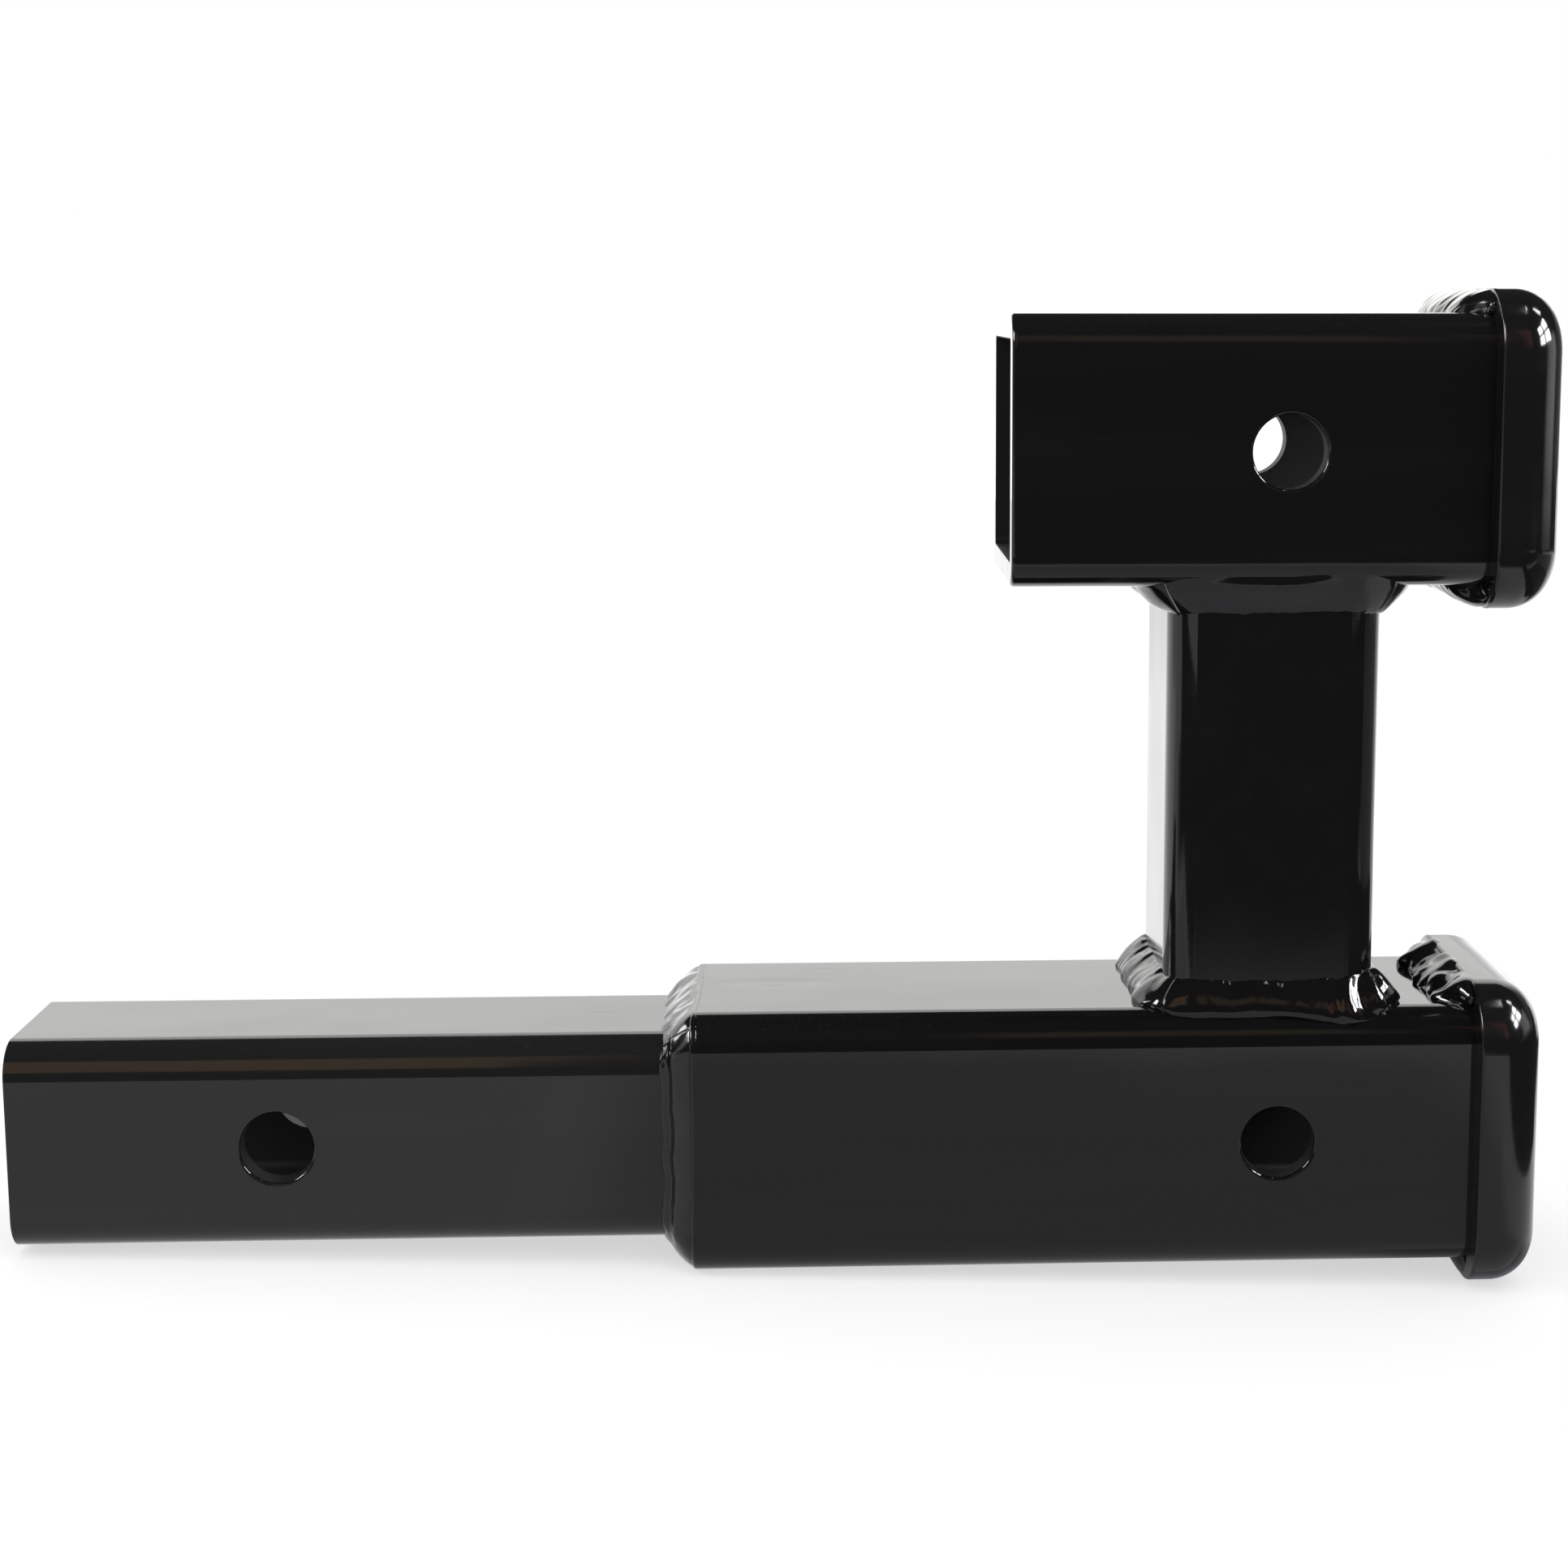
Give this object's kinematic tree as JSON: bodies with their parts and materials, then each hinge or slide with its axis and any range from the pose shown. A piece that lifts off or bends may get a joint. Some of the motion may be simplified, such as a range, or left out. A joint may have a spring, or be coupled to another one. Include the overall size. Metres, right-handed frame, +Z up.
{
  "type": "hitch receiver extender",
  "caption": "Square hitch shank welded into a lower receiver tube, with a riser that carries a second, shorter receiver above it; both mouths have rounded collars.",
  "frame": {"origin": "centre of the shank's pin hole, on the axis of the shank and the lower receiver", "axes": "+X along the tubes from the shank towards the mouths, +Y across along the pin holes, +Z up from the lower receiver to the upper one"},
  "size_m": [0.366, 0.075, 0.2401],
  "materials": {
    "tube_paint": "gloss black",
    "collar_paint": "gloss black",
    "bead_paint": "gloss black over weld"
  },
  "bodies": {
    "root": {"shank": "tube_paint", "lower_receiver": "tube_paint", "riser": "tube_paint", "upper_receiver": "tube_paint", "lower_collar": "collar_paint", "upper_collar": "collar_paint", "shank_bead_top": "bead_paint", "shank_bead_bottom": "bead_paint", "shank_bead_left": "bead_paint", "shank_bead_right": "bead_paint", "foot_bead_front": "bead_paint", "foot_bead_back": "bead_paint", "foot_bead_left": "bead_paint", "foot_bead_right": "bead_paint", "head_bead_front": "bead_paint", "head_bead_back": "bead_paint", "head_bead_left": "bead_paint", "head_bead_right": "bead_paint", "lower_collar_bead_top": "bead_paint", "lower_collar_bead_bottom": "bead_paint", "upper_collar_bead_top": "bead_paint", "upper_collar_bead_bottom": "bead_paint"}
  },
  "joints": []
}
